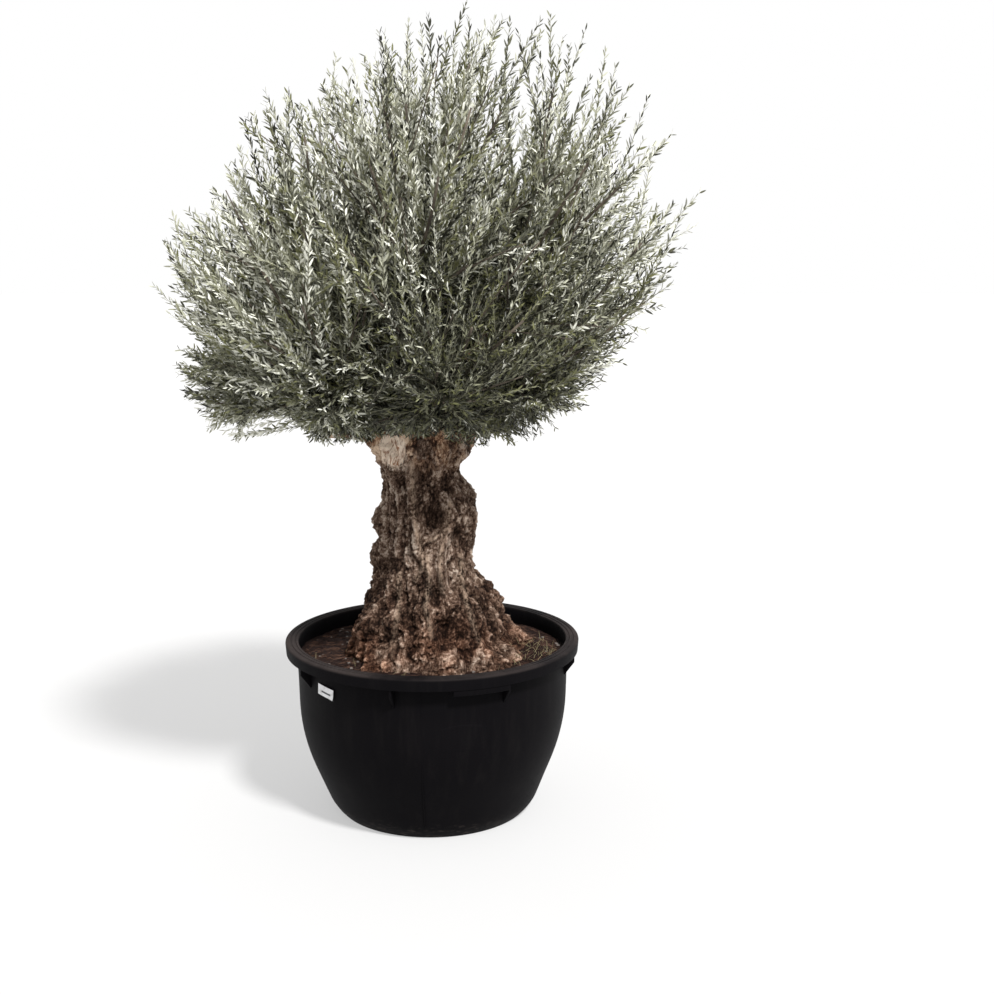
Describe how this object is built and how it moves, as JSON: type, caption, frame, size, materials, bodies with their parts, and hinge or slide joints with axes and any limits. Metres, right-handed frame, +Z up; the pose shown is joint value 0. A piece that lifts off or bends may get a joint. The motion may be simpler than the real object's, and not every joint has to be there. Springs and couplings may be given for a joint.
{
  "type": "old olive tree with a gnarled trunk in a round nursery pot",
  "caption": "Old olive tree with a thick gnarled trunk and a dense crown of upright shoots, standing in a round black nursery pot.",
  "frame": {"origin": "centre of the pot's flat underside", "axes": "+Z up along the pot's axis, -Y towards the front, +X to the right seen from the front"},
  "size_m": [2.1211, 1.8122, 3.2241],
  "materials": {
    "pot_plastic": "near-black moulded plastic with a slight sheen and dust on the lip",
    "potting_soil": "dark red-brown fibrous compost",
    "bark": "deeply furrowed grey-brown olive bark",
    "olive_leaves": "grey-green leaves with silvery undersides"
  },
  "bodies": {
    "root": {"pot": "pot_plastic", "soil": "potting_soil", "trunk": "bark", "bough_top": "bark", "bough_upper_right": "bark", "bough_upper_back": "bark", "bough_upper_left": "bark", "bough_upper_front": "bark", "bough_lower_left": "bark", "bough_lower_left_front": "bark", "bough_lower_front": "bark", "bough_lower_right_front": "bark", "bough_lower_right_back": "bark", "bough_lower_back": "bark", "bough_lower_left_back": "bark", "bough_low_left": "bark", "foliage_top": "olive_leaves", "foliage_upper_right": "olive_leaves", "foliage_upper_back": "olive_leaves", "foliage_upper_left": "olive_leaves", "foliage_upper_front": "olive_leaves", "foliage_lower_left": "olive_leaves", "foliage_lower_left_front": "olive_leaves", "foliage_lower_front": "olive_leaves", "foliage_lower_right_front": "olive_leaves", "foliage_lower_right_back": "olive_leaves", "foliage_lower_back": "olive_leaves", "foliage_lower_left_back": "olive_leaves", "foliage_low_left": "olive_leaves"}
  },
  "joints": []
}
